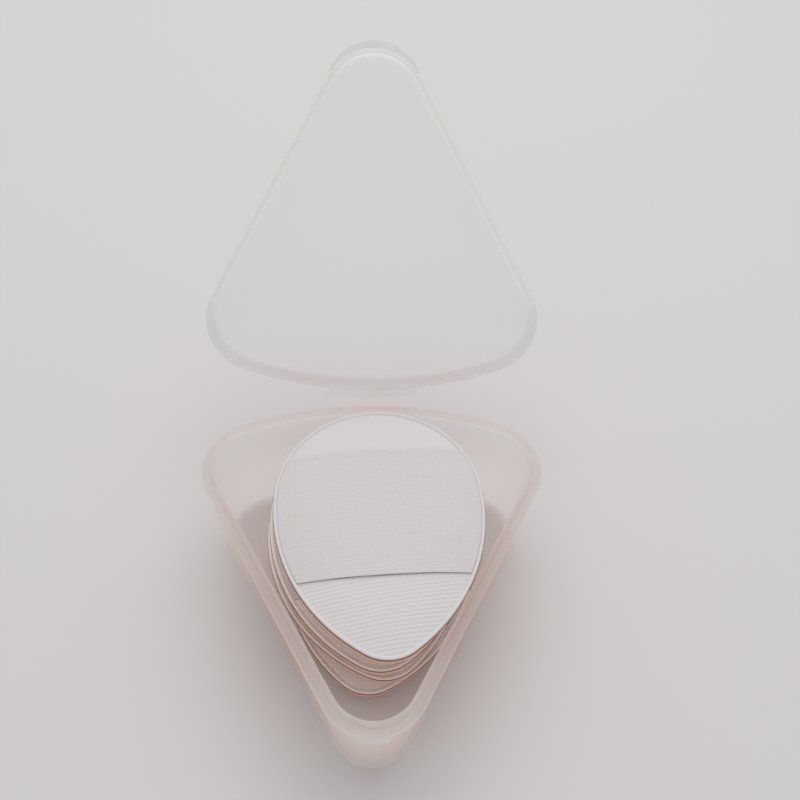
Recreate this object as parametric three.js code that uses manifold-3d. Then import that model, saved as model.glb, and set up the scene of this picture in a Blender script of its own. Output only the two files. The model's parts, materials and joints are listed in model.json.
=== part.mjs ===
// Set of finger puffs in a hinged case.
// Four teardrop makeup puffs lie on each other in a moulded tray with a rounded triangular outline.
// The lid hangs on a moulded strap hinge at the wide end and is shown standing open.
// Millimetres, +Z up. The origin is the middle of the tray's flat underside and the pointed end is at -Y.

import * as THREE from 'three';
import { ConvexGeometry } from 'three/addons/geometries/ConvexGeometry.js';
import { mergeVertices } from 'three/addons/utils/BufferGeometryUtils.js';
import Module from 'manifold-3d';

const wasm = await Module();
wasm.setup();

// Gaps between pieces
const touchGap = 0.3;
const joinOverrun = 0.6;
const mergeShare = 0.001;

// Puff, seen from above: a wide round back, two long side arcs and a round tip
const puffCount = 4;
const puffWidth = 45;
const puffLength = 57.7;
const puffTipRadius = 9.2;
const puffSideRadius = 38;
const puffHeartShare = 0.13;

// Puff, from its face up to its back
const skinThickness = 0.8;
const skinHeight = 7.5;
const skinFlatMargin = 6;
const skinCurveShares = [[1, 0], [0.55, 0.107], [0.25, 0.339], [0.08, 0.61], [0.01, 0.86], [0, 0.97]];
const coverThickness = 0.3;
const beadWidth = 1.7;
const beadHeight = 0.5;
const beadShares = [[0.2, 0.8], [0.5, 1], [0.85, 0.6]];
const beadUndercutShare = 0.1;
const domeShare = 0.62;
const pressedCrown = 0.2;
const freeCrown = 1.1;
const bandThickness = 0.3;
const bandWidth = 29.4;
const bandSetback = 11.2;

// How the puffs lie in the case, from the lowest to the top one
const puffTurnDegrees = [-7.1, 9.5, 4.2, 3.3];
const puffSideShiftShares = [0.053, -0.0412, -0.0085, 0.0265];
const puffBackShiftShares = [0.0272, 0.0276, 0.0135, 0];

// Room that the case leaves round the puffs
const sideRoomShare = 0.22617;
const backRoom = 1.67;
const frontRoom = 10.23;
const topSeamAboveRim = 2.8;
const lidHeadroom = 0.5;

// Case outline, seen from above
const apexRadius = 11.5;
const cornerRadius = 12.7;
const backRadius = 90;

// Tray
const wallThickness = 1.2;
const floorThickness = 1.4;
const wallDraft = 1.5;
const baseEdgeRadius = 1.2;
const floorEdgeRadius = 1.4;
const beadProud = 0.4;
const rimBeadHeight = 1.2;
const ledgeWidth = 1.7;
const lipThickness = 1;
const lipHeight = 0.9;
const lipStep = 1.6;
const lipRound = 0.25;

// Wedge catch on the outside of the tray's pointed end
const catchWidth = 5.2;
const catchNarrowing = 0.8;
const catchReach = 0.6;
const catchDrop = 0.3;
const catchSlant = 0.7;
const catchDepth = 1.9;

// Lid, measured with the lid shut
const lidDrawIn = 0.44;
const lipClearance = 0.32;
const lidPlate = 1.2;
const lidEdgeRadius = 1.3;
const lidFillet = 1.1;
const flangeRadius = 10.3;
const flangeHalfWidth = 9.35;
const flangeReach = 1.5;
const flangeThickness = 1.2;
const recessDepth = 0.6;
const recessClearance = 0.25;

// Strap hinge: two leaves that meet at a fold line behind the rim
const strapWidth = 21;
const leafThickness = 0.7;
const foldBehindRim = 1.64;
const foldAboveRim = 1.1;
const foldEndGap = 0.2;
const foldWebThickness = 0.24;
const foldTaper = 0.8;
const trayLeafDrop = 0.6;
const lidLeafRise = 2.5;
const openingDegrees = 121.3;

// Facet counts
const apexSteps = 12;
const cornerSteps = 10;
const backSteps = 10;
const puffMainSteps = 14;
const puffSideSteps = 5;
const puffTipSteps = 4;
const bandSteps = 8;
const bandRows = 5;
const strapSteps = 8;
const flangeSteps = 16;

// Sizes that follow from the ones above
const puffRadius = puffWidth / 2;
const coverBottom = skinHeight + touchGap;
const valleyHeight = coverBottom + coverThickness;
const bandLift = touchGap + bandThickness;
const puffPitch = valleyHeight + pressedCrown + bandLift + touchGap;
const stackBottom = floorThickness + touchGap;
const topPuffBottom = stackBottom + (puffCount - 1) * puffPitch;

const caseHalfWidth = puffRadius + sideRoomShare * puffLength + (wallDraft + wallThickness);
const caseLength = puffLength + frontRoom + backRoom + 2 * (wallDraft + wallThickness);
const apexCentreY = apexRadius - caseLength / 2;
const backCentreY = caseLength / 2 - backRadius;
const cornerCentreX = caseHalfWidth - cornerRadius;
const cornerCentreY = backCentreY + Math.sqrt((backRadius - cornerRadius) ** 2 - cornerCentreX ** 2);

const rimHeight = topPuffBottom + skinHeight - topSeamAboveRim;
const lipTop = rimHeight + lipHeight;
const lidMouth = rimHeight + touchGap;
const lidCeiling = topPuffBottom + valleyHeight + freeCrown + bandLift + lidHeadroom;
const lidTop = lidCeiling + lidPlate;
const skirtThickness = ledgeWidth - lipClearance - lidDrawIn;

const foldY = caseLength / 2 + foldBehindRim;
const foldZ = rimHeight + foldAboveRim;

const radians = (degrees) => THREE.MathUtils.degToRad(degrees);

// Points along an arc, with its ends left out where a neighbouring arc already has them
function arcPoints(centreX, centreY, radius, from, to, steps, withEnds) {
  const points = [];
  const first = withEnds ? 0 : 1;
  const last = withEnds ? steps : steps - 1;
  for (let i = first; i <= last; i += 1) {
    const angle = from + ((to - from) * i) / steps;
    points.push(new THREE.Vector2(
      centreX + radius * Math.cos(angle),
      centreY + radius * Math.sin(angle),
    ));
  }
  return points;
}

// Case outline drawn in by an inset: apex, right corner, bowed back and left corner
function caseOutline(inset) {
  const rise = cornerCentreY - apexCentreY;
  const lean = Math.atan2(rise, cornerCentreX);
  const spread = Math.acos((apexRadius - cornerRadius) / Math.hypot(cornerCentreX, rise));
  const side = lean - spread;
  const back = Math.atan2(cornerCentreY - backCentreY, cornerCentreX);
  const corner = cornerRadius - inset;
  return [
    ...arcPoints(0, apexCentreY, apexRadius - inset, -Math.PI - side, side, apexSteps, true),
    ...arcPoints(cornerCentreX, cornerCentreY, corner, side, back, cornerSteps, true),
    ...arcPoints(0, backCentreY, backRadius - inset, back, Math.PI - back, backSteps, false),
    ...arcPoints(-cornerCentreX, cornerCentreY, corner, Math.PI - back, Math.PI - side, cornerSteps, true),
  ];
}

// Place of the case's back edge at a distance from the middle
const backEdgeY = (x, inset) => backCentreY + Math.sqrt((backRadius - inset) ** 2 - x ** 2);

// Teardrop: the side arcs' centre and the angles where the arcs meet
const tipCentreY = puffRadius + puffTipRadius - puffLength;
const mainReach = puffSideRadius - puffRadius;
const tipReach = puffSideRadius - puffTipRadius;
const sideCentreY = (mainReach ** 2 + tipCentreY ** 2 - tipReach ** 2) / (2 * tipCentreY);
const sideCentreX = Math.sqrt(mainReach ** 2 - sideCentreY ** 2);
const shoulder = Math.atan2(-sideCentreY, sideCentreX);
const cheek = Math.atan2(tipCentreY - sideCentreY, sideCentreX);
const heartY = -puffHeartShare * puffLength;

function puffOutline(inset) {
  const side = puffSideRadius - inset;
  const right = [-sideCentreX, sideCentreY, side, cheek, shoulder, puffSideSteps, false];
  const left = [sideCentreX, sideCentreY, side, Math.PI - shoulder, Math.PI - cheek, puffSideSteps, false];
  return [
    ...arcPoints(0, tipCentreY, puffTipRadius - inset, -Math.PI - cheek, cheek, puffTipSteps, true),
    ...arcPoints(...right),
    ...arcPoints(0, 0, puffRadius - inset, shoulder, Math.PI - shoulder, puffMainSteps, true),
    ...arcPoints(...left),
  ];
}

// Half the teardrop's width at a place along it
function puffHalfWidth(y, inset) {
  const tip = puffTipRadius - inset;
  const side = puffSideRadius - inset;
  const main = puffRadius - inset;
  if (y < tipCentreY + tip * Math.sin(cheek)) {
    return Math.sqrt(Math.max(tip ** 2 - (y - tipCentreY) ** 2, 0));
  }
  if (y < main * Math.sin(shoulder)) {
    return Math.sqrt(side ** 2 - (y - sideCentreY) ** 2) - sideCentreX;
  }
  return Math.sqrt(Math.max(main ** 2 - y ** 2, 0));
}

const ringAt = (outline, z) => outline.map((p) => new THREE.Vector3(p.x, p.y, z));

// A teardrop ring shrunk towards the puff's heart
function shrunkRing(inset, share, z) {
  return puffOutline(inset).map((p) => new THREE.Vector3(p.x * share, heartY + (p.y - heartY) * share, z));
}

function meshFrom(positions, triangles) {
  const geometry = new THREE.BufferGeometry();
  geometry.setAttribute('position', new THREE.Float32BufferAttribute(positions, 3));
  geometry.setIndex(triangles);
  return geometry;
}

// Closed body through a row of rings with as many points each; its two ends close on a middle point
function loftedBody(rings, startMiddle, endMiddle) {
  const count = rings[0].length;
  const positions = [];
  const triangles = [];
  rings.forEach((ring) => ring.forEach((p) => positions.push(p.x, p.y, p.z)));
  for (let r = 0; r < rings.length - 1; r += 1) {
    for (let i = 0; i < count; i += 1) {
      const a = r * count + i;
      const b = r * count + ((i + 1) % count);
      triangles.push(a, b, b + count, a, b + count, a + count);
    }
  }
  const start = rings.length * count;
  const lastRing = (rings.length - 1) * count;
  positions.push(startMiddle.x, startMiddle.y, startMiddle.z, endMiddle.x, endMiddle.y, endMiddle.z);
  for (let i = 0; i < count; i += 1) {
    const next = (i + 1) % count;
    triangles.push(start, next, i);
    triangles.push(start + 1, lastRing + i, lastRing + next);
  }
  return meshFrom(positions, triangles);
}

function middleOf(ring) {
  const middle = new THREE.Vector3();
  ring.forEach((p) => middle.add(p));
  return middle.divideScalar(ring.length);
}

// Solids for joining and cutting
function toSolid(geometry) {
  const bare = geometry.clone();
  bare.deleteAttribute('normal');
  bare.deleteAttribute('uv');
  const merged = mergeVertices(bare, touchGap * mergeShare);
  return new wasm.Manifold(new wasm.Mesh({
    numProp: 3,
    vertProperties: Float32Array.from(merged.attributes.position.array),
    triVerts: Uint32Array.from(merged.index.array),
  }));
}

function fromSolid(solid) {
  const { vertProperties, triVerts } = solid.getMesh();
  return meshFrom(Array.from(vertProperties), Array.from(triVerts));
}

function namedMesh(name, geometry, material) {
  geometry.computeVertexNormals();
  const mesh = new THREE.Mesh(geometry, material.clone());
  mesh.name = name;
  return mesh;
}

// Finishes
const frostedPlastic = new THREE.MeshStandardMaterial({ color: 0xd6d0cd, roughness: 0.5, metalness: 0 });
const frostedHinge = new THREE.MeshStandardMaterial({ color: 0xcec8c6, roughness: 0.5, metalness: 0 });
const peachSkin = new THREE.MeshStandardMaterial({ color: 0xd9a992, roughness: 0.65, metalness: 0 });
const peachFoam = new THREE.MeshStandardMaterial({ color: 0xe6c4ad, roughness: 0.9, metalness: 0 });
const whiteFabric = new THREE.MeshStandardMaterial({ color: 0xe4e2e1, roughness: 0.85, metalness: 0 });
const wovenRibbon = new THREE.MeshStandardMaterial({ color: 0xdcdad7, roughness: 0.8, metalness: 0 });

// Tray: its section runs from the underside up the outer wall, over the rim and lip, and down inside
function trayBody() {
  const bevel = 1 - Math.SQRT1_2;
  const innerFloor = wallDraft + wallThickness;
  const lipInner = ledgeWidth + lipThickness;
  const section = [
    [wallDraft + baseEdgeRadius, 0],
    [wallDraft + baseEdgeRadius * bevel, baseEdgeRadius * bevel],
    [wallDraft, baseEdgeRadius],
    [beadProud, rimHeight - rimBeadHeight - beadProud],
    [0, rimHeight - rimBeadHeight],
    [0, rimHeight],
    [ledgeWidth, rimHeight],
    [ledgeWidth, lipTop - lipRound],
    [ledgeWidth + lipRound, lipTop],
    [lipInner - lipRound, lipTop],
    [lipInner, lipTop - lipRound],
    [lipInner, rimHeight],
    [beadProud + wallThickness, rimHeight - lipStep],
    [innerFloor, floorThickness + floorEdgeRadius],
    [innerFloor + floorEdgeRadius * bevel, floorThickness + floorEdgeRadius * bevel],
    [innerFloor + floorEdgeRadius, floorThickness],
  ];
  const rings = section.map(([inset, z]) => ringAt(caseOutline(inset), z));
  return loftedBody(rings, new THREE.Vector3(0, 0, 0), new THREE.Vector3(0, 0, floorThickness));
}

// The catch is a wedge with a slanting top, narrower at its outer edge, rooted in the rim's bead
const catchTop = rimHeight - catchDrop;
const catchOuterY = -caseLength / 2 - catchReach;

function catchBody() {
  const rootY = -caseLength / 2 + beadProud + joinOverrun;
  const half = catchWidth / 2;
  const outerHalf = half - catchNarrowing / 2;
  const corners = [];
  [-1, 1].forEach((hand) => {
    corners.push(new THREE.Vector3(hand * half, rootY, catchTop));
    corners.push(new THREE.Vector3(hand * half, rootY, catchTop - catchDepth));
    corners.push(new THREE.Vector3(hand * outerHalf, catchOuterY, catchTop - catchSlant));
  });
  return new ConvexGeometry(corners);
}

function caseTray() {
  return fromSolid(toSolid(trayBody()).add(toSolid(catchBody())));
}

// Lid, in its shut place: its section runs from the ceiling down inside the skirt and up the outside
function lidShell() {
  const bevel = 1 - Math.SQRT1_2;
  const inner = lidDrawIn + skirtThickness;
  const section = [
    [inner + lidFillet, lidCeiling],
    [inner + lidFillet * bevel, lidCeiling - lidFillet * bevel],
    [inner, lidCeiling - lidFillet],
    [inner, lidMouth],
    [lidDrawIn, lidMouth],
    [lidDrawIn, lidTop - lidEdgeRadius],
    [lidDrawIn + lidEdgeRadius * bevel, lidTop - lidEdgeRadius * bevel],
    [lidDrawIn + lidEdgeRadius, lidTop],
  ];
  const rings = section.map(([inset, z]) => ringAt(caseOutline(inset), z));
  return loftedBody(rings, new THREE.Vector3(0, 0, lidCeiling), new THREE.Vector3(0, 0, lidTop));
}

// Finger flange: a round-fronted plate at the skirt's edge, cut back to the skirt's middle
function flangeBody() {
  const centreY = -caseLength / 2 + lidDrawIn - flangeReach + flangeRadius;
  const spread = Math.asin(flangeHalfWidth / flangeRadius);
  const outline = new THREE.Shape();
  outline.absarc(0, centreY, flangeRadius, -Math.PI / 2 - spread, -Math.PI / 2 + spread, false);
  outline.closePath();
  const plate = new THREE.ExtrudeGeometry(outline, {
    depth: flangeThickness,
    bevelEnabled: false,
    curveSegments: flangeSteps,
  });
  plate.translate(0, 0, lidMouth);
  const throat = caseOutline(lidDrawIn + skirtThickness / 2);
  const low = lidMouth - joinOverrun;
  const high = lidMouth + flangeThickness + joinOverrun;
  const throatBody = loftedBody(
    [ringAt(throat, low), ringAt(throat, high)],
    new THREE.Vector3(0, 0, low),
    new THREE.Vector3(0, 0, high),
  );
  return toSolid(plate).subtract(toSolid(throatBody));
}

// The flange's underside has a pocket over the catch
function recessBody() {
  const half = catchWidth / 2 + recessClearance;
  const outerY = catchOuterY - recessClearance;
  const innerY = -caseLength / 2 + lidDrawIn;
  const corners = [];
  [-half, half].forEach((x) => {
    [outerY, innerY].forEach((y) => {
      [lidMouth - joinOverrun, lidMouth + recessDepth].forEach((z) => {
        corners.push(new THREE.Vector3(x, y, z));
      });
    });
  });
  return new ConvexGeometry(corners);
}

function caseLid() {
  const shell = toSolid(lidShell());
  return fromSolid(shell.add(flangeBody()).subtract(toSolid(recessBody())));
}

// A hinge leaf runs from the edge that carries it to the fold and thins to a web there
function hingeLeaf(edgeY, middleZ) {
  const run = new THREE.Vector2(edgeY(0) + touchGap - foldY, middleZ - foldZ);
  const along = run.clone().normalize();
  const across = new THREE.Vector2(-along.y, along.x);
  const thick = leafThickness / 2;
  const web = foldWebThickness / 2;
  const edgeHalf = thick / Math.abs(along.x);
  const place = (distance, offset) => new THREE.Vector2(
    foldY + along.x * distance + across.x * offset,
    foldZ + along.y * distance + across.y * offset,
  );
  const turn = Math.sign(across.y);
  const rings = [];
  for (let i = 0; i <= strapSteps; i += 1) {
    const x = strapWidth * (i / strapSteps - 1 / 2);
    const section = [
      new THREE.Vector2(edgeY(x) + touchGap, middleZ - edgeHalf),
      place(foldTaper, -thick * turn),
      place(foldEndGap, -web * turn),
      place(foldEndGap, web * turn),
      place(foldTaper, thick * turn),
      new THREE.Vector2(edgeY(x) + touchGap, middleZ + edgeHalf),
    ];
    rings.push(section.map((p) => new THREE.Vector3(x, p.x, p.y)));
  }
  return loftedBody(rings, middleOf(rings[0]), middleOf(rings[strapSteps]));
}

// Puff skin: a shallow cup with a flat face, a soft edge and sides that swell towards the seam
function skinSection(thickness) {
  return skinCurveShares.map(([out, up]) => [
    thickness + skinFlatMargin * out,
    thickness + (skinHeight - thickness) * up,
  ]);
}

function puffSkin() {
  const outer = skinSection(0);
  const inner = skinSection(skinThickness).slice(0, -1).reverse();
  const section = [...outer, [0, skinHeight], [skinThickness, skinHeight], ...inner];
  const rings = section.map(([inset, z]) => ringAt(puffOutline(inset), z));
  return loftedBody(rings, new THREE.Vector3(0, heartY, 0), new THREE.Vector3(0, heartY, skinThickness));
}

const domeRise = (crown, share) => crown * (1 - share ** 2);

// Foam core, inside the skin with a gap all round
function puffCore(crown) {
  const top = coverBottom - touchGap;
  const inner = skinSection(skinThickness).slice(0, -1);
  const section = inner.map(([inset, z]) => [inset + touchGap, z + touchGap]);
  section.push([skinThickness + 2 * touchGap, top - touchGap]);
  const rings = section.map(([inset, z]) => ringAt(puffOutline(inset), z));
  const rim = beadWidth + touchGap;
  rings.push(shrunkRing(rim, 1, top));
  rings.push(shrunkRing(rim, domeShare, top + domeRise(crown, domeShare)));
  return loftedBody(
    rings,
    new THREE.Vector3(0, heartY, skinThickness + touchGap),
    new THREE.Vector3(0, heartY, top + crown),
  );
}

// Back cover: a raised bead along the seam, a valley inside it and a crown over the foam
function puffCover(crown) {
  const bead = beadShares.map(([across, up]) => [beadWidth * across, valleyHeight + beadHeight * up]);
  const section = [
    [beadWidth * beadUndercutShare, coverBottom],
    [0, coverBottom + coverThickness / 2],
    ...bead,
  ];
  const rings = [
    shrunkRing(beadWidth, domeShare, coverBottom + domeRise(crown, domeShare)),
    shrunkRing(beadWidth, 1, coverBottom),
    ...section.map(([inset, z]) => ringAt(puffOutline(inset), z)),
    shrunkRing(beadWidth + touchGap, 1, valleyHeight),
    shrunkRing(beadWidth + touchGap, domeShare, valleyHeight + domeRise(crown, domeShare)),
  ];
  return loftedBody(
    rings,
    new THREE.Vector3(0, heartY, coverBottom + crown),
    new THREE.Vector3(0, heartY, valleyHeight + crown),
  );
}

// How far a place lies from the puff's heart, as a share of the way to the valley
function valleyShare(x, y) {
  const valley = puffOutline(beadWidth + touchGap);
  let share = 0;
  valley.forEach((p, i) => {
    const q = valley[(i + 1) % valley.length];
    const edgeX = q.x - p.x;
    const edgeY = q.y - p.y;
    const reach = p.x * edgeY - (p.y - heartY) * edgeX;
    share = Math.max(share, (x * edgeY - (y - heartY) * edgeX) / reach);
  });
  return Math.min(share, 1);
}

// Finger band: a ribbon laid over the crown from bead to bead
function puffBand(crown) {
  const front = bandSetback - bandWidth;
  const positions = [];
  const triangles = [];
  const rowLength = bandSteps + 1;
  const layer = rowLength * (bandRows + 1);
  [0, bandThickness].forEach((lift) => {
    for (let row = 0; row <= bandRows; row += 1) {
      const y = front + (bandWidth * row) / bandRows;
      const half = puffHalfWidth(y, beadWidth + 2 * touchGap);
      for (let i = 0; i <= bandSteps; i += 1) {
        const x = half * Math.sin(Math.PI * (i / bandSteps - 1 / 2));
        const rise = domeRise(crown, valleyShare(x, y));
        positions.push(x, y, valleyHeight + touchGap + rise + lift);
      }
    }
  });
  const at = (level, row, i) => level * layer + row * rowLength + i;
  const quad = (a, b, c, d) => triangles.push(a, b, c, a, c, d);
  for (let row = 0; row < bandRows; row += 1) {
    for (let i = 0; i < bandSteps; i += 1) {
      quad(at(1, row, i), at(1, row, i + 1), at(1, row + 1, i + 1), at(1, row + 1, i));
      quad(at(0, row, i), at(0, row + 1, i), at(0, row + 1, i + 1), at(0, row, i + 1));
    }
    quad(at(0, row, 0), at(1, row, 0), at(1, row + 1, 0), at(0, row + 1, 0));
    quad(at(0, row, bandSteps), at(0, row + 1, bandSteps), at(1, row + 1, bandSteps), at(1, row, bandSteps));
  }
  for (let i = 0; i < bandSteps; i += 1) {
    quad(at(0, 0, i), at(0, 0, i + 1), at(1, 0, i + 1), at(1, 0, i));
    quad(at(0, bandRows, i), at(1, bandRows, i), at(1, bandRows, i + 1), at(0, bandRows, i + 1));
  }
  return meshFrom(positions, triangles);
}

function puff(number) {
  const crown = number === puffCount ? freeCrown : pressedCrown;
  const group = new THREE.Group();
  group.add(namedMesh(`puff_${number}_skin`, puffSkin(), peachSkin));
  group.add(namedMesh(`puff_${number}_core`, puffCore(crown), peachFoam));
  group.add(namedMesh(`puff_${number}_cover`, puffCover(crown), whiteFabric));
  group.add(namedMesh(`puff_${number}_band`, puffBand(crown), wovenRibbon));
  const place = number - 1;
  const backY = caseLength / 2 - (wallDraft + wallThickness) - backRoom;
  group.position.set(
    puffSideShiftShares[place] * puffWidth,
    backY - puffRadius + puffBackShiftShares[place] * puffLength,
    stackBottom + place * puffPitch,
  );
  group.rotation.z = radians(puffTurnDegrees[place]);
  return group;
}

// Assembly: the tray stands at the origin, and the lid's group turns about the fold line
const assembly = new THREE.Group();

assembly.add(namedMesh('case_tray', caseTray(), frostedPlastic));
const trayLeaf = hingeLeaf((x) => backEdgeY(x, 0), rimHeight - trayLeafDrop);
assembly.add(namedMesh('hinge_leaf_tray', trayLeaf, frostedHinge));

const lid = new THREE.Group();
lid.position.set(0, foldY, foldZ);
lid.rotation.x = -radians(openingDegrees);
const lidLeaf = hingeLeaf((x) => backEdgeY(x, lidDrawIn), lidMouth + lidLeafRise);
[
  namedMesh('case_lid', caseLid(), frostedPlastic),
  namedMesh('hinge_leaf_lid', lidLeaf, frostedHinge),
].forEach((mesh) => {
  mesh.position.set(0, -foldY, -foldZ);
  lid.add(mesh);
});
assembly.add(lid);

for (let number = 1; number <= puffCount; number += 1) {
  assembly.add(puff(number));
}

export default assembly;
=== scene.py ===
"""Set of teardrop finger puffs in a frosted case with a moulded strap hinge.

Metres, +Z up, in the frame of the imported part: the case stands on Z = 0, its pointed
end is at -Y and the lid stands open behind it.
"""
import json
import math

import bmesh
import bpy
from mathutils import Matrix, Vector


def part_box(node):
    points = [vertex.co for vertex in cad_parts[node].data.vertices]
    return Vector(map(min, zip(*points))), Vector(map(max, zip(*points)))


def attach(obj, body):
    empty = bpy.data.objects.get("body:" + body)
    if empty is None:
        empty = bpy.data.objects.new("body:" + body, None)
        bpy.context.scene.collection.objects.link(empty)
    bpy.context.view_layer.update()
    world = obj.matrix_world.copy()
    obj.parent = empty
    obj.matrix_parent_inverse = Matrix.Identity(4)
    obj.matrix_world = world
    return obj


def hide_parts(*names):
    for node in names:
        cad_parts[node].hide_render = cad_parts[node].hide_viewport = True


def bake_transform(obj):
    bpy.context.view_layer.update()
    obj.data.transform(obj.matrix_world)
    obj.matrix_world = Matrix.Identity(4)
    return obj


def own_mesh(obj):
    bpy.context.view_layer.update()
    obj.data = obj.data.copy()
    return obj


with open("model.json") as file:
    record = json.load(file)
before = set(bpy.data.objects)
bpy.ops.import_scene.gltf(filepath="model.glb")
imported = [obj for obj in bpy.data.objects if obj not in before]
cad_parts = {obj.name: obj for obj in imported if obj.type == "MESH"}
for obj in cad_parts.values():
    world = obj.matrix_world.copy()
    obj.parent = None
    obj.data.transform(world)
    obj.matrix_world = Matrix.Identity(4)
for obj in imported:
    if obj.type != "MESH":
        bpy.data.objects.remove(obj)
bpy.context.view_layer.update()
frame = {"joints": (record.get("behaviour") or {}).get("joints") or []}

# Tray
# One moulding of frosted polypropylene: a flat floor, drafted walls, a thicker
# bead at the rim, a ledge, and a thin lip inside it that the lid drops over.

# The tray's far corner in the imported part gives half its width, its back edge and its top
half_width, back_y, lip_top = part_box("case_tray")[1]

apex_radius = 0.0115
corner_radius = 0.0127
back_radius = 0.090
apex_steps = 26
corner_steps = 22
back_steps = 30

wall_draft = 0.0015
wall_thickness = 0.0012
floor_thickness = 0.0014
floor_round = 0.0014
base_round = 0.0012
bead_proud = 0.0004
bead_shares = (0.3, 0.7)
rim_bead_height = 0.0012
ledge_width = 0.0017
lip_thickness = 0.0010
lip_height = 0.0009
lip_step = 0.0016
lip_round = 0.00025
tray_edge_bevel = 0.00016
crisp_angle = 40
smooth_angle = 35
merge_distance = 0.000001
rim_height = lip_top - lip_height
bead_bottom = rim_height - rim_bead_height

apex_y = apex_radius - back_y
back_centre_y = back_y - back_radius
corner_x = half_width - corner_radius
corner_y = back_centre_y + math.sqrt((back_radius - corner_radius) ** 2 - corner_x ** 2)
side_angle = math.atan2(corner_y - apex_y, corner_x) - math.acos(
    (apex_radius - corner_radius) / math.hypot(corner_x, corner_y - apex_y)
)
back_angle = math.atan2(corner_y - back_centre_y, corner_x)


def case_arcs(inset):
    """The case seen from above, as arcs: (middle x, middle y, radius, from, to, steps)."""
    corner = corner_radius - inset
    return [
        (0, apex_y, apex_radius - inset, -math.pi - side_angle, side_angle, apex_steps),
        (corner_x, corner_y, corner, side_angle, back_angle, corner_steps),
        (0, back_centre_y, back_radius - inset, back_angle, math.pi - back_angle, back_steps),
        (-corner_x, corner_y, corner, math.pi - back_angle, math.pi - side_angle, corner_steps),
    ]


def draw_plate(name, arcs, z):
    """Spins one vertex round each arc in turn, with straight sides between, and fills the outline."""
    bpy.ops.object.select_all(action="DESELECT")
    bpy.ops.mesh.primitive_plane_add()
    piece = bpy.context.object
    piece.name = piece.data.name = name
    bpy.ops.object.mode_set(mode="EDIT")
    bpy.ops.mesh.merge(type="CENTER")
    pen = Vector((0, 0, 0))
    for number, (x, y, radius, start, end, steps) in enumerate(arcs):
        first = Vector((x + radius * math.cos(start), y + radius * math.sin(start), z))
        if number == 0:
            bpy.ops.transform.translate(value=first - pen)
        elif (first - pen).length > merge_distance:
            bpy.ops.mesh.extrude_region_move(TRANSFORM_OT_translate={"value": first - pen})
        bpy.ops.mesh.spin(steps=steps, angle=start - end, center=(x, y, z), axis=(0, 0, 1))
        pen = Vector((x + radius * math.cos(end), y + radius * math.sin(end), z))
    bpy.ops.mesh.select_all(action="SELECT")
    bpy.ops.mesh.remove_doubles(threshold=merge_distance)
    bpy.ops.mesh.edge_face_add()
    drawn = bmesh.from_edit_mesh(piece.data)
    drawn.faces.ensure_lookup_table()
    if drawn.faces[0].normal.z < 0:
        bpy.ops.mesh.flip_normals()
    return piece


def walk(steps):
    """Draws the selected face in and up or down, one step after another."""
    for inwards, upwards in steps:
        bpy.ops.mesh.inset(thickness=inwards, depth=upwards, use_even_offset=True)


two_step_round = ((0.30, 0.70), (0.70, 0.30))
three_step_round = ((0.13, 0.50), (0.37, 0.37), (0.50, 0.13))


def rounded(size, shares, direction):
    """Steps inwards round an edge of this size, and up for a direction of 1 or down for -1."""
    return [(size * inwards, direction * size * upwards) for inwards, upwards in shares]


def joined(name, *pieces):
    """Joins pieces into the first, with the doubled rings merged and the faces turned outwards."""
    if bpy.context.object and bpy.context.object.mode == "EDIT":
        bpy.ops.object.mode_set(mode="OBJECT")
    bpy.ops.object.select_all(action="DESELECT")
    for piece in pieces:
        piece.select_set(True)
    bpy.context.view_layer.objects.active = pieces[0]
    if len(pieces) > 1:
        bpy.ops.object.join()
    bpy.ops.object.mode_set(mode="EDIT")
    bpy.ops.mesh.select_all(action="SELECT")
    bpy.ops.mesh.remove_doubles(threshold=merge_distance)
    bpy.ops.mesh.normals_make_consistent(inside=False)
    bpy.ops.object.mode_set(mode="OBJECT")
    pieces[0].name = pieces[0].data.name = name
    return pieces[0]


def pick(piece):
    """Selects this piece alone and makes it the active one."""
    bpy.ops.object.select_all(action="DESELECT")
    piece.select_set(True)
    bpy.context.view_layer.objects.active = piece


def apply_modifier(piece, kind, **values):
    """Adds a modifier with these values and applies it."""
    pick(piece)
    bpy.ops.object.modifier_add(type=kind)
    modifier = piece.modifiers[-1]
    for key, value in values.items():
        setattr(modifier, key, value)
    bpy.ops.object.modifier_apply(modifier=modifier.name)


def soften(piece, width, degrees):
    """Bevels the edges that turn by more than this angle."""
    apply_modifier(
        piece, "BEVEL", width=width, segments=2, limit_method="ANGLE", angle_limit=math.radians(degrees)
    )


def smooth(piece, degrees):
    """Shades the surface smooth, except over edges that turn by more than this angle."""
    pick(piece)
    bpy.ops.object.shade_smooth_by_angle(angle=math.radians(degrees))


def finish_with(piece, material):
    """Gives a piece its only material."""
    piece.data.materials.clear()
    piece.data.materials.append(material)


# The outside, from the rim's bead down to the underside
wall_top = bead_bottom - len(bead_shares) * bead_proud
tray_outside = draw_plate("tray_outside", case_arcs(0), bead_bottom)
walk([(bead_proud * share, -bead_proud) for share in bead_shares])
walk([(wall_draft - bead_proud, base_round - wall_top)])
walk(rounded(base_round, three_step_round, -1))
bpy.ops.object.mode_set(mode="OBJECT")

# The rim, from the bead up over the ledge and the lip, down to the lip's root
tray_rim = draw_plate("tray_rim", case_arcs(0), bead_bottom)
walk([(0, rim_bead_height), (ledge_width, 0), (0, lip_height - lip_round)])
walk(rounded(lip_round, two_step_round, 1))
walk([(lip_thickness - 2 * lip_round, 0)])
walk(rounded(lip_round, reversed(two_step_round), -1))
walk([(0, lip_round - lip_height)])
bpy.ops.mesh.delete(type="ONLY_FACE")
bpy.ops.object.mode_set(mode="OBJECT")

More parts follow.
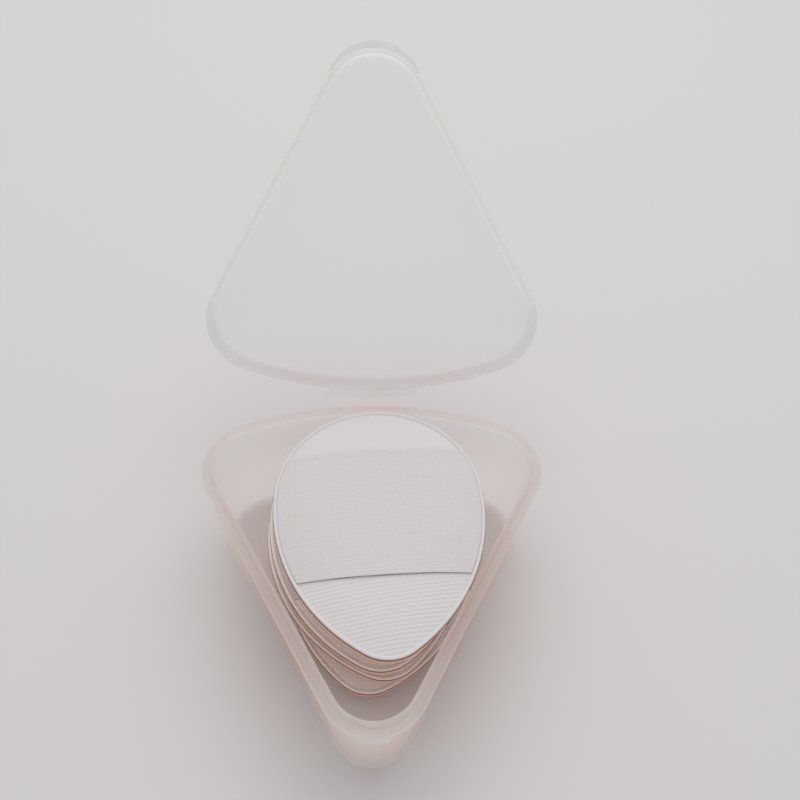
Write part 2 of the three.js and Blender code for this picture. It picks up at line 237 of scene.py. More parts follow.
# The inside, from under the lip down to the floor
inner_top = rim_height - lip_step
inner_drop = inner_top - floor_thickness - floor_round
tray_inside = draw_plate("tray_inside", case_arcs(bead_proud + wall_thickness), inner_top)
walk([(wall_draft - bead_proud, -inner_drop)])
walk(rounded(floor_round, three_step_round, -1))
bpy.ops.object.mode_set(mode="OBJECT")

# The lip's root and the inner wall are bridged
tray = joined("tray", tray_outside, tray_rim, tray_inside)
bpy.ops.object.mode_set(mode="EDIT")
bpy.ops.mesh.select_all(action="DESELECT")
bpy.ops.mesh.select_non_manifold()
bpy.ops.mesh.bridge_edge_loops()
bpy.ops.mesh.select_all(action="SELECT")
bpy.ops.mesh.normals_make_consistent(inside=False)
bpy.ops.object.mode_set(mode="OBJECT")

# The catch at the pointed end: a wedge with a slanting top, narrower at its outer edge
catch_width = 0.0058
catch_narrowing = 0.0008
catch_reach = 0.0009
catch_root_depth = 0.0010
catch_depth = 0.0019
catch_drop = 0.0003
catch_outer_share = 0.22
catch_outer_drop = 0.0008
catch_bevel = 0.00026
catch_top = rim_height - catch_drop
catch_root_y = -back_y + catch_root_depth
catch_outer_y = -back_y - catch_reach

bpy.ops.object.select_all(action="DESELECT")
bpy.ops.mesh.primitive_cube_add(
    size=1, location=(0, (catch_root_y + catch_outer_y) / 2, catch_top - catch_depth / 2)
)
catch = bpy.context.object
catch.name = "tray_catch"
bpy.ops.transform.resize(value=(catch_width, catch_root_y - catch_outer_y, catch_depth))
bpy.ops.object.transform_apply(location=True, rotation=True, scale=True)
bpy.ops.object.mode_set(mode="EDIT")
bpy.ops.mesh.select_all(action="DESELECT")
shape = bmesh.from_edit_mesh(catch.data)
for vertex in shape.verts:
    vertex.select = vertex.co.y < -back_y
shape.select_flush(True)
bmesh.update_edit_mesh(catch.data)
bpy.ops.transform.resize(
    value=(1 - catch_narrowing / catch_width, 1, catch_outer_share),
    center_override=(0, catch_outer_y, catch_top - catch_outer_drop),
)
bpy.ops.object.mode_set(mode="OBJECT")
apply_modifier(catch, "BEVEL", width=catch_bevel, segments=3)

apply_modifier(tray, "BOOLEAN", object=catch, operation="UNION", solver="EXACT")
bpy.data.objects.remove(catch)
soften(tray, tray_edge_bevel, crisp_angle)
smooth(tray, smooth_angle)


def mottle_group():
    """Soft clouds over a surface: a value round 1 that shades a colour, and a fine grain."""
    group = bpy.data.node_groups.new("soft_mottle", "ShaderNodeTree")
    for name, kind, start in (
        ("Cloud size", "NodeSocketFloat", 100.0),
        ("Grain size", "NodeSocketFloat", 1500.0),
        ("Amount", "NodeSocketFloat", 0.06),
    ):
        socket = group.interface.new_socket(name, in_out="INPUT", socket_type=kind)
        socket.default_value = start
    for name in ("Shade", "Grain"):
        group.interface.new_socket(name, in_out="OUTPUT", socket_type="NodeSocketFloat")
    nodes, links = group.nodes, group.links
    entry, leave = nodes.new("NodeGroupInput"), nodes.new("NodeGroupOutput")
    place = nodes.new("ShaderNodeTexCoord")
    clouds, grain = nodes.new("ShaderNodeTexNoise"), nodes.new("ShaderNodeTexNoise")
    clouds.inputs["Detail"].default_value = 2.0
    grain.inputs["Detail"].default_value = 3.0
    centred, scaled, shade = (nodes.new("ShaderNodeMath") for _ in range(3))
    centred.operation, scaled.operation, shade.operation = "SUBTRACT", "MULTIPLY", "ADD"
    centred.inputs[1].default_value = 0.5
    shade.inputs[1].default_value = 1.0
    links.new(place.outputs["Object"], clouds.inputs["Vector"])
    links.new(place.outputs["Object"], grain.inputs["Vector"])
    links.new(entry.outputs["Cloud size"], clouds.inputs["Scale"])
    links.new(entry.outputs["Grain size"], grain.inputs["Scale"])
    links.new(clouds.outputs["Fac"], centred.inputs[0])
    links.new(centred.outputs[0], scaled.inputs[0])
    links.new(entry.outputs["Amount"], scaled.inputs[1])
    links.new(scaled.outputs[0], shade.inputs[0])
    links.new(shade.outputs[0], leave.inputs["Shade"])
    links.new(grain.outputs["Fac"], leave.inputs["Grain"])
    return group


soft_mottle = mottle_group()


def colour(red, green, blue):
    """A colour given as it looks on a screen, from 0 to 255, made linear."""
    return [((c / 255 + 0.055) / 1.055) ** 2.4 for c in (red, green, blue)] + [1.0]


def new_material(name, tint, roughness, cloud_size, amount, grain_size=1500.0, grain_depth=0.0):
    """A Principled material whose colour is shaded by the mottle and whose grain is a bump."""
    material = bpy.data.materials.new(name)
    material.use_nodes = True
    nodes, links = material.node_tree.nodes, material.node_tree.links
    shader = nodes["Principled BSDF"]
    shader.inputs["Roughness"].default_value = roughness
    mottle = nodes.new("ShaderNodeGroup")
    mottle.name = "Mottle"
    mottle.node_tree = soft_mottle
    mottle.inputs["Cloud size"].default_value = cloud_size
    mottle.inputs["Grain size"].default_value = grain_size
    mottle.inputs["Amount"].default_value = amount
    shaded = nodes.new("ShaderNodeVectorMath")
    shaded.name = "Tint"
    shaded.operation = "SCALE"
    shaded.inputs[0].default_value = tint[:3]
    links.new(mottle.outputs["Shade"], shaded.inputs["Scale"])
    links.new(shaded.outputs[0], shader.inputs["Base Color"])
    if grain_depth:
        bump = nodes.new("ShaderNodeBump")
        bump.name = "Grain"
        bump.inputs["Distance"].default_value = grain_depth
        links.new(mottle.outputs["Grain"], bump.inputs["Height"])
        links.new(bump.outputs["Normal"], shader.inputs["Normal"])
    return material


plastic_ior = 1.49


def frosted(name, tint, passed_tint, see_through, passed_share):
    """Milky plastic: part of the light goes straight through, and part is scattered on to the other side."""
    material = new_material(
        name, tint, roughness=0.42, cloud_size=60.0, amount=0.02, grain_size=900.0, grain_depth=0.00001
    )
    nodes, links = material.node_tree.nodes, material.node_tree.links
    shader = nodes["Principled BSDF"]
    shader.inputs["IOR"].default_value = plastic_ior
    shader.inputs["Alpha"].default_value = 1 - see_through
    passing, mixed = nodes.new("ShaderNodeBsdfTranslucent"), nodes.new("ShaderNodeMixShader")
    passing.inputs["Color"].default_value = passed_tint
    mixed.inputs["Fac"].default_value = passed_share
    links.new(shader.outputs[0], mixed.inputs[1])
    links.new(passing.outputs[0], mixed.inputs[2])
    links.new(mixed.outputs[0], nodes["Material Output"].inputs["Surface"])
    return material


def colour_socket(sockets, name):
    """The colour socket of this name on a Mix node, which has one for each kind of value."""
    return next(socket for socket in sockets if socket.name == name and socket.type == "RGBA")


def height_tint_group():
    """A colour that changes with height, because light from the puffs fills the case's lower part."""
    group = bpy.data.node_groups.new("height_tint", "ShaderNodeTree")
    for name in ("Low tint", "High tint"):
        group.interface.new_socket(name, in_out="INPUT", socket_type="NodeSocketColor")
    for name in ("Low height", "High height"):
        group.interface.new_socket(name, in_out="INPUT", socket_type="NodeSocketFloat")
    group.interface.new_socket("Tint", in_out="OUTPUT", socket_type="NodeSocketColor")
    nodes, links = group.nodes, group.links
    entry, leave = nodes.new("NodeGroupInput"), nodes.new("NodeGroupOutput")
    place, split = nodes.new("ShaderNodeTexCoord"), nodes.new("ShaderNodeSeparateXYZ")
    share, tint = nodes.new("ShaderNodeMapRange"), nodes.new("ShaderNodeMix")
    tint.data_type = "RGBA"
    links.new(place.outputs["Object"], split.inputs[0])
    links.new(split.outputs["Z"], share.inputs["Value"])
    links.new(entry.outputs["Low height"], share.inputs["From Min"])
    links.new(entry.outputs["High height"], share.inputs["From Max"])
    links.new(share.outputs[0], tint.inputs["Factor"])
    links.new(entry.outputs["Low tint"], colour_socket(tint.inputs, "A"))
    links.new(entry.outputs["High tint"], colour_socket(tint.inputs, "B"))
    links.new(colour_socket(tint.outputs, "Result"), leave.inputs["Tint"])
    return group


filled_share = 0.4
frosted_tray = frosted(
    "frosted_tray", colour(240, 232, 229), colour(255, 253, 252), see_through=0.81, passed_share=0.45
)
tray_nodes, tray_links = frosted_tray.node_tree.nodes, frosted_tray.node_tree.links
# Painted light: the tray is coloured lighter low down and darker at the rim, for the light from the puffs
# that fills the case's lower part
painted_fill_light = tray_nodes.new("ShaderNodeGroup")
painted_fill_light.node_tree = height_tint_group()
painted_fill_light.inputs["Low tint"].default_value = colour(255, 253, 251)
painted_fill_light.inputs["High tint"].default_value = colour(222, 215, 213)
painted_fill_light.inputs["Low height"].default_value = filled_share * rim_height
painted_fill_light.inputs["High height"].default_value = bead_bottom
tray_links.new(painted_fill_light.outputs["Tint"], tray_nodes["Tint"].inputs[0])
finish_with(tray, frosted_tray)
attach(tray, "case")
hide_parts("case_tray")

# Lid
# A shallow polypropylene moulding that drops over the tray's lip, with a curved
# finger flange at the pointed end. It is modelled shut, then swung open about the fold.
touch_gap = 0.0003
lid_draw_in = 0.00044
lip_clearance = 0.00032
lid_plate = 0.0012
lid_edge_round = 0.0013
lid_fillet = 0.0011
lid_edge_bevel = 0.00014
lid_mouth = rim_height + touch_gap
lid_ceiling = 0.0396
lid_top = lid_ceiling + lid_plate
skirt_thickness = ledge_width - lip_clearance - lid_draw_in
skirt_side_top = lid_top - lid_edge_round

four_step_round = ((0.08, 0.38), (0.21, 0.33), (0.33, 0.21), (0.38, 0.08))
lid_outside = draw_plate("lid_outside", case_arcs(lid_draw_in), skirt_side_top)
walk(rounded(lid_edge_round, four_step_round, 1))
bpy.ops.object.mode_set(mode="OBJECT")
lid_inside = draw_plate("lid_inside", case_arcs(lid_draw_in), skirt_side_top)
walk([
    (0, lid_mouth - skirt_side_top),
    (skirt_thickness, 0),
    (0, lid_ceiling - lid_fillet - lid_mouth),
])
walk(rounded(lid_fillet, four_step_round, 1))
lid = joined("lid", lid_outside, lid_inside)

# The flange: its front is one arc, and its back follows the middle of the skirt
flange_radius = 0.0103
flange_half_width = 0.00935
flange_reach = 0.0015
flange_thickness = 0.0012
flange_steps = 32
throat_steps = 24
flange_y = -back_y + lid_draw_in - flange_reach + flange_radius
flange_spread = math.asin(flange_half_width / flange_radius)
flange_end_y = flange_y - flange_radius * math.cos(flange_spread)
throat_radius = apex_radius - lid_draw_in - skirt_thickness / 2
throat_angle = math.asin((flange_end_y - apex_y) / throat_radius)
flange_arcs = [
    (0, flange_y, flange_radius, -math.pi / 2 - flange_spread, -math.pi / 2 + flange_spread, flange_steps),
    (0, apex_y, throat_radius, throat_angle, -math.pi - throat_angle, throat_steps),
]
flange = draw_plate("lid_flange", flange_arcs, lid_mouth)
walk([(0, flange_thickness)])
bpy.ops.object.mode_set(mode="OBJECT")
flange_floor = draw_plate("lid_flange_floor", flange_arcs, lid_mouth)
flange = joined("lid_flange", flange, flange_floor)
apply_modifier(lid, "BOOLEAN", object=flange, operation="UNION", solver="EXACT")
bpy.data.objects.remove(flange)

# The pocket in the flange's underside, over the catch
recess_depth = 0.0006
recess_clearance = 0.00025
recess_back_y = -back_y + lid_draw_in
recess_front_y = catch_outer_y - recess_clearance
bpy.ops.object.select_all(action="DESELECT")
bpy.ops.mesh.primitive_cube_add(size=1, location=(0, (recess_back_y + recess_front_y) / 2, lid_mouth))
recess = bpy.context.object
bpy.ops.transform.resize(
    value=(catch_width + 2 * recess_clearance, recess_back_y - recess_front_y, 2 * recess_depth)
)
bpy.ops.object.transform_apply(location=True, rotation=True, scale=True)
apply_modifier(lid, "BOOLEAN", object=recess, operation="DIFFERENCE", solver="EXACT")
bpy.data.objects.remove(recess)
soften(lid, lid_edge_bevel, crisp_angle)
smooth(lid, smooth_angle)

# A mask that is 1 on the skirt, where more plastic lies behind itself, and falls with the surface's tilt on
# the roundings; there the lid is painted darker, painted shade for the denser look of plastic seen edge-on
skirt_shade_mask = []
for vertex in lid.data.vertices:
    below_plate = vertex.co.z < lid_ceiling - lid_fillet
    skirt_shade_mask.append(1.0 if below_plate else 1 - abs(vertex.normal.z))
lid.data.attributes.new("skirt", "FLOAT", "POINT")
lid.data.attributes["skirt"].data.foreach_set("value", skirt_shade_mask)
lid.data.update()

# Painted shade: the skirt's tint is darker than the plate's, though it is the same plastic
plate_tint = colour(250, 249, 250)
skirt_painted_shade = colour(205, 202, 203)
frosted_lid = frosted("frosted_lid", plate_tint, colour(254, 254, 254), see_through=0.80, passed_share=0.4)
lid_nodes, lid_links = frosted_lid.node_tree.nodes, frosted_lid.node_tree.links
skirt_read, skirt_shade_mix = lid_nodes.new("ShaderNodeAttribute"), lid_nodes.new("ShaderNodeMix")
skirt_read.attribute_name = "skirt"
skirt_shade_mix.data_type = "RGBA"
colour_socket(skirt_shade_mix.inputs, "A").default_value = plate_tint
colour_socket(skirt_shade_mix.inputs, "B").default_value = skirt_painted_shade
lid_links.new(skirt_read.outputs["Fac"], skirt_shade_mix.inputs["Factor"])
lid_links.new(colour_socket(skirt_shade_mix.outputs, "Result"), lid_nodes["Tint"].inputs[0])

# Swung open about the fold. The joint turns about -X, so its angle for a shut lid is,
# about +X, the angle that opens it.
hinge = next(joint for joint in frame["joints"] if joint["name"] == "lid_hinge")
fold = Vector(hinge["pos_m"])
opening = math.radians(hinge["range_deg"][0])
swing = Matrix.Translation(fold) @ Matrix.Rotation(opening, 4, "X") @ Matrix.Translation(-fold)
lid.data.transform(swing)
finish_with(lid, frosted_lid)
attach(lid, "lid")
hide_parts("case_lid")

# Strap hinge
# The strap is moulded with the tray and the lid. It is thin all over and thinnest
# at the fold, where it bends.
strap_width = 0.021
strap_columns = 12
leaf_rows = 9
leaf_thickness = 0.0007
web_share = 0.34
web_reach = 0.0008
root_depth = 0.0007
tray_root_drop = 0.0006
lid_root_rise = 0.0025
strap_edge_bevel = 0.00012
strap_crisp_angle = 50
tray_root = Vector((0, back_y - root_depth, rim_height - tray_root_drop))
lid_root = swing @ Vector((0, back_y - lid_draw_in - root_depth, lid_mouth + lid_root_rise))

bpy.ops.object.select_all(action="DESELECT")
bpy.ops.mesh.primitive_grid_add(x_subdivisions=strap_columns, y_subdivisions=2 * leaf_rows, size=1)
strap = bpy.context.object
strap.name = strap.data.name = "hinge_strap"
for vertex in strap.data.vertices:
    along = vertex.co.y + 0.5
    start, end, share = (tray_root, fold, along * 2) if along < 0.5 else (fold, lid_root, along * 2 - 1)
    place = start.lerp(end, share)
    vertex.co = (vertex.co.x * strap_width, place.y, place.z)
thickness = strap.vertex_groups.new(name="thickness")
for vertex in strap.data.vertices:
    away = (vertex.co - Vector((vertex.co.x, fold.y, fold.z))).length
    thickness.add([vertex.index], min(1.0, web_share + (1 - web_share) * away / web_reach), "REPLACE")
apply_modifier(
    strap, "SOLIDIFY", thickness=leaf_thickness, offset=0.0, vertex_group="thickness",
    thickness_vertex_group=0.0, use_even_offset=True,
)
soften(strap, strap_edge_bevel, strap_crisp_angle)
smooth(strap, smooth_angle)
frosted_strap = frosted(
    "frosted_strap", colour(244, 242, 243), colour(253, 253, 254), see_through=0.74, passed_share=0.4
)
finish_with(strap, frosted_strap)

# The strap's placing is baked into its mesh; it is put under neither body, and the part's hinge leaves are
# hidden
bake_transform(strap)
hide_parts("hinge_leaf_tray", "hinge_leaf_lid")

# Puff: face skin, seam and foam
# A teardrop of soft foam in a smooth peach polyurethane skin that wraps round the
# edge up to the seam. One puff is modelled flat at the origin, and copied four times.
puff_radius = 0.0225
puff_length = 0.0577
tip_radius = 0.0092
side_radius = 0.038
tip_steps = 16
side_steps = 18
round_steps = 48
heart_share = 0.13
tip_y = puff_radius + tip_radius - puff_length
main_reach = side_radius - puff_radius
tip_reach = side_radius - tip_radius
side_y = (main_reach ** 2 + tip_y ** 2 - tip_reach ** 2) / (2 * tip_y)
side_x = math.sqrt(main_reach ** 2 - side_y ** 2)
shoulder = math.atan2(-side_y, side_x)
cheek = math.atan2(tip_y - side_y, side_x)
heart = Vector((0, -heart_share * puff_length, 0))


def puff_arcs(inset):
    """The teardrop seen from above, as arcs."""
    side = side_radius - inset
    return [
        (0, tip_y, tip_radius - inset, -math.pi - cheek, cheek, tip_steps),
        (-side_x, side_y, side, cheek, shoulder, side_steps),
        (0, 0, puff_radius - inset, shoulder, math.pi - shoulder, round_steps),
        (side_x, side_y, side, math.pi - shoulder, math.pi - cheek, side_steps),
    ]


skin_height = 0.0075
skin_thickness = 0.0008
skin_margin = 0.0060
side_rows = 11
swell = 2.0
puff_smooth_angle = 50


def steps_between(places):
    """The steps that lead from each place to the next."""
    return [(b[0] - a[0], b[1] - a[1]) for a, b in zip(places, places[1:])]


def skin_steps(margin, height):
    """Steps down the puff's side: upright at the seam, round at the edge, flat at the face."""
    places = []
    for row in range(side_rows + 1):
        turn = math.pi / 2 * row / side_rows
        places.append((
            margin * (1 - math.cos(turn) ** (2 / swell)),
            -height * math.sin(turn) ** (2 / swell),
        ))
    return steps_between(places)


skin = draw_plate("skin", puff_arcs(0), skin_height)
walk(skin_steps(skin_margin, skin_height))
bpy.ops.object.mode_set(mode="OBJECT")
skin = joined("skin", skin)
apply_modifier(skin, "SOLIDIFY", thickness=skin_thickness, offset=-1.0, use_even_offset=True)
smooth(skin, puff_smooth_angle)

# The foam fills the skin, and its top is closed by a plate that rises a little
foam_inset = skin_thickness + touch_gap
foam_top = skin_height - touch_gap
foam_plate_inset = 0.0006
foam_plate_rise = 0.0001
foam = draw_plate("foam", puff_arcs(foam_inset), foam_top)
walk(skin_steps(skin_margin, foam_top - touch_gap - skin_thickness))
bpy.ops.object.mode_set(mode="OBJECT")
foam_plate = draw_plate("foam_plate", puff_arcs(foam_inset), foam_top)
walk([(foam_plate_inset, foam_plate_rise)])
foam = joined("foam", foam, foam_plate)
smooth(foam, puff_smooth_angle)

# The seam: the rolled raw edge of the skin, a thin tube round the outline
seam_radius = 0.00019
seam_rise = 0.00020
seam_inset = 0.00008
seam_smooth_angle = 60
seam = draw_plate("seam", puff_arcs(seam_inset), skin_height + seam_rise)
bpy.ops.mesh.delete(type="ONLY_FACE")
bpy.ops.object.mode_set(mode="OBJECT")
bpy.ops.object.convert(target="CURVE")
seam.data.bevel_depth = seam_radius
seam.data.bevel_resolution = 2
bpy.ops.object.convert(target="MESH")
seam = joined("seam", seam)
smooth(seam, seam_smooth_angle)

finish_with(skin, new_material(
    "peach_skin", colour(236, 184, 160), roughness=0.55, cloud_size=120.0, amount=0.08,
    grain_size=2500.0, grain_depth=0.00003,
))
finish_with(foam, new_material(
    "peach_foam", colour(228, 196, 176), roughness=0.9, cloud_size=200.0, amount=0.06,
    grain_size=1800.0, grain_depth=0.0001,
))
finish_with(seam, new_material(
    "seam_edge", colour(148, 84, 57), roughness=0.7, cloud_size=400.0, amount=0.20,
    grain_size=2500.0, grain_depth=0.00004,
))

# Puff: back cover
# White ribbed fabric drawn over the foam, rolled into a bead along the seam, with
# a valley inside the bead and a low crown over the foam.
cover_bottom = skin_height + touch_gap
cover_thickness = 0.0003
valley_z = cover_bottom + cover_thickness
bead_width = 0.0009
bead_height = 0.00028
bead_roll = [
    (0.00, 0.00), (0.04, 0.40), (0.13, 0.75), (0.28, 0.96), (0.46, 1.00),
    (0.65, 0.88), (0.81, 0.60), (0.93, 0.25), (1.00, 0.00),
]
under_steps = [(0.00010, -0.00016), (0.0002, -0.00008)]
rib_turn = math.radians(5.5)
crown_rows = 22
crown_spacing = 1.6
pressed_crown = 0.0006
pressed_bead = 0.0003
free_crown = 0.0018
flat_share = 0.45
edge_share = 0.88
cover_smooth_angle = 60


def back_cover(name, crown, roll_height):
    """The cover, closed below: the bead's roll, the valley and the crown, which closes on the heart."""
    piece = draw_plate(name, puff_arcs(0), valley_z)
    roll = [(bead_width * inwards, roll_height * upwards) for inwards, upwards in bead_roll]
    walk(steps_between(roll))
    bpy.ops.mesh.select_all(action="INVERT")
    bpy.ops.object.vertex_group_add()
    bpy.ops.object.vertex_group_assign()
    bpy.ops.mesh.select_all(action="INVERT")
    share, height = 1.0, 0.0
    for row in range(1, crown_rows):
        target = 1 - (row / crown_rows) ** crown_spacing
        fall = max(0.0, (target - flat_share) / (1 - flat_share)) ** 2
        rise = crown * (1 - (1 - edge_share) * target ** 2 - edge_share * fall)
        bpy.ops.mesh.extrude_region_move(TRANSFORM_OT_translate={"value": (0, 0, rise - height)})
        scale = target / share
        bpy.ops.transform.resize(value=(scale, scale, 1), center_override=heart)
        share, height = target, rise
    bpy.ops.mesh.poke()
    bpy.ops.object.mode_set(mode="OBJECT")
    under = draw_plate(name + "_under", puff_arcs(0), valley_z)
    walk(under_steps)
    piece = joined(name, piece, under)
    smooth(piece, cover_smooth_angle)
    return piece


def lay_map(piece, turn, drawn_flat):
    """A UV map in metres for the weave, and a mask: 0 on the bead, less where the cloth is drawn flat."""
    layer = piece.data.uv_layers.new(name="cloth")
    for loop in piece.data.loops:
        place = piece.data.vertices[loop.vertex_index].co
        layer.data[loop.index].uv = (
            place.x * math.cos(turn) + place.y * math.sin(turn),
            place.y * math.cos(turn) - place.x * math.sin(turn),
        )
    mask = []
    for vertex in piece.data.vertices:
        towards_back = min(1.0, max(0.0, (vertex.co.y - heart.y) / puff_radius + 0.5))
        mask.append(0.0 if len(vertex.groups) > 0 else 1 - drawn_flat * towards_back)
    piece.data.attributes.new("woven", "FLOAT", "POINT")
    piece.data.attributes["woven"].data.foreach_set("value", mask)
    piece.data.update()


# A pressed cover is woven all over, so its bead's group goes before the map is laid
cover_pressed = back_cover("cover_pressed", pressed_crown, pressed_bead)
cover_pressed.vertex_groups.clear()
cover_free = back_cover("cover_free", free_crown, bead_height)
for piece in (cover_pressed, cover_free):
    lay_map(piece, rib_turn, drawn_flat=0.8)


def weave_group():
    """A weave of ribs or of small cells on the cloth map: its height, which the mask flattens."""
    group = bpy.data.node_groups.new("cloth_weave", "ShaderNodeTree")
    for name, start in (("Pitch across", 0.0006), ("Pitch along", 0.0008), ("Across", 0.4), ("Along", 1.0)):
        socket = group.interface.new_socket(name, in_out="INPUT", socket_type="NodeSocketFloat")
        socket.default_value = start
    group.interface.new_socket("Height", in_out="OUTPUT", socket_type="NodeSocketFloat")
    nodes, links = group.nodes, group.links
    entry, leave = nodes.new("NodeGroupInput"), nodes.new("NodeGroupOutput")
    cloth = nodes.new("ShaderNodeUVMap")
    cloth.uv_map = "cloth"
    split = nodes.new("ShaderNodeSeparateXYZ")
    links.new(cloth.outputs["UV"], split.inputs[0])
    waves = []
    for axis, pitch, weight in (("X", "Pitch across", "Across"), ("Y", "Pitch along", "Along")):
        divide, turns, wave, weighed = (nodes.new("ShaderNodeMath") for _ in range(4))
        divide.operation, turns.operation, wave.operation = "DIVIDE", "MULTIPLY", "COSINE"
        weighed.operation = "MULTIPLY"
        turns.inputs[1].default_value = 2 * math.pi
        links.new(split.outputs[axis], divide.inputs[0])
        links.new(entry.outputs[pitch], divide.inputs[1])
        links.new(divide.outputs[0], turns.inputs[0])
        links.new(turns.outputs[0], wave.inputs[0])
        links.new(wave.outputs[0], weighed.inputs[0])
        links.new(entry.outputs[weight], weighed.inputs[1])
        waves.append(weighed)
    mask = nodes.new("ShaderNodeAttribute")
    mask.attribute_name = "woven"
    total, half, height = (nodes.new("ShaderNodeMath") for _ in range(3))
    total.operation, half.operation, height.operation = "ADD", "MULTIPLY", "MULTIPLY"
    half.inputs[1].default_value = 0.5
    links.new(mask.outputs["Fac"], height.inputs[1])
    links.new(waves[0].outputs[0], total.inputs[0])
    links.new(waves[1].outputs[0], total.inputs[1])
    links.new(total.outputs[0], half.inputs[0])
    links.new(half.outputs[0], height.inputs[0])
    links.new(height.outputs[0], leave.inputs["Height"])
    return group


cloth_weave = weave_group()
cloth_sheen = 0.15


def woven(name, tint, pitch_across, pitch_along, across, along, depth, weave_shade_depth):
    """A white cloth with a weave, whose height is a bump and also painted shade: the hollows painted a little
    darker and the ridges a little lighter.
    """
    material = new_material(
        name, tint, roughness=0.85, cloud_size=250.0, amount=0.025, grain_size=2500.0, grain_depth=0.00004
    )
    nodes, links = material.node_tree.nodes, material.node_tree.links
    weave = nodes.new("ShaderNodeGroup")
    weave.node_tree = cloth_weave
    weave.inputs["Pitch across"].default_value = pitch_across
    weave.inputs["Pitch along"].default_value = pitch_along
    weave.inputs["Across"].default_value = across
    weave.inputs["Along"].default_value = along
    bump = nodes.new("ShaderNodeBump")
    bump.inputs["Distance"].default_value = depth
    links.new(weave.outputs["Height"], bump.inputs["Height"])
    links.new(nodes["Grain"].outputs["Normal"], bump.inputs["Normal"])
    links.new(bump.outputs["Normal"], nodes["Principled BSDF"].inputs["Normal"])
    nodes["Principled BSDF"].inputs["Sheen Weight"].default_value = cloth_sheen
    # Painted shade: the weave's height darkens the colour in its hollows and lightens it on its ridges
    weave_shade, shaded = nodes.new("ShaderNodeMath"), nodes.new("ShaderNodeMath")
    weave_shade.operation, shaded.operation = "MULTIPLY_ADD", "MULTIPLY"
    weave_shade.inputs[1].default_value = weave_shade_depth
    weave_shade.inputs[2].default_value = 1.0
    links.new(weave.outputs["Height"], weave_shade.inputs[0])
    links.new(weave_shade.outputs[0], shaded.inputs[0])
    links.new(nodes["Mottle"].outputs["Shade"], shaded.inputs[1])
    links.new(shaded.outputs[0], nodes["Tint"].inputs["Scale"])
    return material


finish_with(cover_free, woven(
    "ribbed_cover", colour(211, 208, 207), pitch_across=0.00045, pitch_along=0.00082,
    across=0.2, along=1.0, depth=0.00006, weave_shade_depth=0.06,
))
# Painted light: the pressed covers are painted lighter than the top cover, standing in for the light that
# reaches the strips between the puffs
finish_with(cover_pressed, woven(
    "meshed_cover_painted_light", colour(232, 226, 223), pitch_across=0.00055, pitch_along=0.00055,
    across=0.8, along=1.0, depth=0.00003, weave_shade_depth=0.05,
))

# Puff: finger band
# A woven white ribbon for two fingers. It lies over the crown from bead to bead,
# and both its ends are caught in the seam under the bead.
band_width = 0.0294
band_setback = 0.0107
band_thickness = 0.00025
band_inset = 0.0009
cut_pitch = 0.0015
plate_height = 0.012
bed_gap = 0.00005
bridge_height = 0.00025
fold_rows = (0.0009, 0.0015)
fold_height = 0.00016
row_tolerance = 0.00002


def finger_band(name, bed, bridge_lift, fold_lift):
    """Cut from a teardrop plate, laid on a bed without a bead, lifted in its middle, folded and thickened."""
    piece = draw_plate(name, puff_arcs(band_inset), plate_height)
    for y, side in ((band_setback, 1), (band_setback - band_width, -1)):
        bpy.ops.mesh.select_all(action="SELECT")
        bpy.ops.mesh.bisect(plane_co=(0, y, 0), plane_no=(0, side, 0), clear_outer=True)
    for direction in (Vector((1, 0, 0)), Vector((0, 1, 0))):
        for cut in range(1, int(2 * puff_radius / cut_pitch)):
            place = direction * (cut * cut_pitch - puff_radius)
            bpy.ops.mesh.select_all(action="SELECT")
            bpy.ops.mesh.bisect(plane_co=place, plane_no=direction)
    for row in fold_rows:
        bpy.ops.mesh.select_all(action="SELECT")
        bpy.ops.mesh.bisect(plane_co=(0, band_setback - row, 0), plane_no=(0, 1, 0))
    bpy.ops.mesh.select_all(action="SELECT")
    bpy.ops.mesh.normals_make_consistent(inside=False)
    bpy.ops.object.mode_set(mode="OBJECT")
    apply_modifier(
        piece, "SHRINKWRAP", target=bed, wrap_method="PROJECT", use_project_z=True,
        use_negative_direction=True, use_positive_direction=False, offset=bed_gap,
    )
    fold_y = band_setback - fold_rows[0]
    for vertex in piece.data.vertices:
        vertex.co.z += bridge_lift * max(0.0, 1 - (vertex.co.x / (puff_radius - bead_width)) ** 2)
        if abs(vertex.co.y - fold_y) < row_tolerance:
            vertex.co.z += fold_lift
    apply_modifier(piece, "SOLIDIFY", thickness=band_thickness, offset=1.0)
    lay_map(piece, 0.0, drawn_flat=0.0)
    smooth(piece, puff_smooth_angle)
    return piece


bed_pressed = back_cover("bed_pressed", pressed_crown, 0.0)
bed_free = back_cover("bed_free", free_crown, 0.0)
band_pressed = finger_band("band_pressed", bed_pressed, bridge_lift=0.0, fold_lift=0.0)
band_free = finger_band("band_free", bed_free, bridge_lift=bridge_height, fold_lift=fold_height)
for bed in (bed_pressed, bed_free):
    bpy.data.objects.remove(bed)
ribbon = woven(
    "woven_ribbon", colour(207, 203, 202), pitch_across=0.00073, pitch_along=0.00063,
    across=0.8, along=1.0, depth=0.00004, weave_shade_depth=0.03,
)
for piece in (band_pressed, band_free):
    finish_with(piece, ribbon)

# Stack of puffs
# Four puffs lie on each other, each turned and shifted a little as they fell.
# Only the top one is free to stand up into its full crown.
puff_count = 4
puff_pitch = 0.0092
stack_bottom = floor_thickness + touch_gap
turns = [math.radians(t) for t in (-7.1, 9.5, 4.2, 3.3)]
side_shifts = [2 * puff_radius * s for s in (0.053, -0.0412, -0.0085, 0.0265)]
back_shifts = [puff_length * s for s in (0.0272, 0.0276, 0.0135, 0)]
back_room = 0.00167
puff_y = back_y - wall_draft - wall_thickness - back_room - puff_radius


def place_copy(source, name, number):
    """A copy with its own mesh, put in its place in the stack."""
    pick(source)
    bpy.ops.object.duplicate(linked=False)
    piece = bpy.context.object
    piece.name = piece.data.name = name
    place = number - 1
    middle = (side_shifts[place], puff_y + back_shifts[place], stack_bottom + place * puff_pitch)
    piece.data.transform(Matrix.Translation(middle) @ Matrix.Rotation(turns[place], 4, "Z"))
    return piece


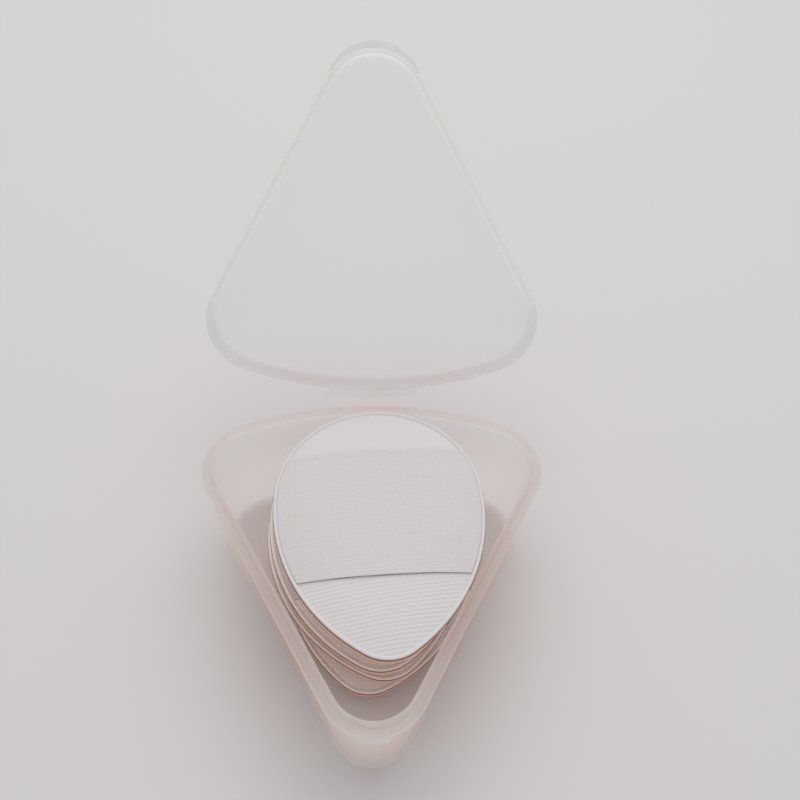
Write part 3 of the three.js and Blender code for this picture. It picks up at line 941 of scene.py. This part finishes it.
for number in range(1, puff_count + 1):
    body = f"puff_{number}"
    top = number == puff_count
    face = place_copy(skin, f"{body}_face", number)
    filling = place_copy(foam, f"{body}_foam", number)
    edge = place_copy(seam, f"{body}_seam", number)
    back = place_copy(cover_free if top else cover_pressed, f"{body}_back", number)
    band = place_copy(band_free if top else band_pressed, f"{body}_ribbon", number)
    for piece, node, finish in (
        (face, "skin", "puff_skin"),
        (filling, "core", "puff_foam"),
        (back, "cover", "puff_cover"),
        (band, "band", "puff_band"),
    ):
        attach(piece, body)
        if top and node in ("cover", "band"):
            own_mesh(piece)
        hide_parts(f"{body}_{node}")
    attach(edge, body)

for source in (skin, foam, seam, cover_pressed, cover_free, band_pressed, band_free):
    bpy.data.objects.remove(source)

# Floor, light and camera
# A pale floor under the case, one soft square lamp above and behind it, and an even pale
# world. The camera stands where a fit to the photographed outlines put it.
floor_size = 4
floor_gap = 0.0001
bpy.ops.object.select_all(action="DESELECT")
bpy.ops.mesh.primitive_plane_add(size=floor_size, location=(0, 0, -floor_gap))
floor = bpy.context.object
floor.name = floor.data.name = "floor"
finish_with(floor, new_material(
    "pale_floor", colour(211, 208, 208), roughness=0.9, cloud_size=3.0, amount=0.0
))

world_strength = 0.57
world_tint = (1.0, 0.993, 0.995, 1.0)
world = bpy.data.worlds.new("studio")
world.use_nodes = True
background = world.node_tree.nodes["Background"]
background.inputs["Color"].default_value = world_tint
background.inputs["Strength"].default_value = world_strength
bpy.context.scene.world = world

lamp_place = Vector((0.03, 0.32, 0.76))
lamp_aim = Vector((0, 0.01, 0.03))
lamp_size = 0.8
lamp_energy = 3.8
bpy.ops.object.light_add(type="AREA", location=lamp_place)
lamp = bpy.context.object
lamp.data.shape = "SQUARE"
lamp.data.size = lamp_size
lamp.data.energy = lamp_energy
lamp.rotation_euler = (lamp_aim - lamp_place).to_track_quat("-Z", "Y").to_euler()

camera_place = Vector((-0.001913, -0.074210, 0.188654))
view_right = Vector((0.99902, -0.02486, 0.03655))
view_up = Vector((-0.00154, 0.80676, 0.59088))
view_ahead = Vector((0.04418, 0.59036, -0.80593))
camera_data = bpy.data.cameras.new("view")
camera_data.lens = 36.0
camera_data.sensor_width = 36.0
camera = bpy.data.objects.new("view", camera_data)
bpy.context.scene.collection.objects.link(camera)
axes = Matrix((view_right, view_up, -view_ahead)).transposed().to_4x4()
camera.matrix_world = Matrix.Translation(camera_place) @ axes
bpy.context.scene.camera = camera
bpy.context.scene.view_settings.view_transform = "Standard"
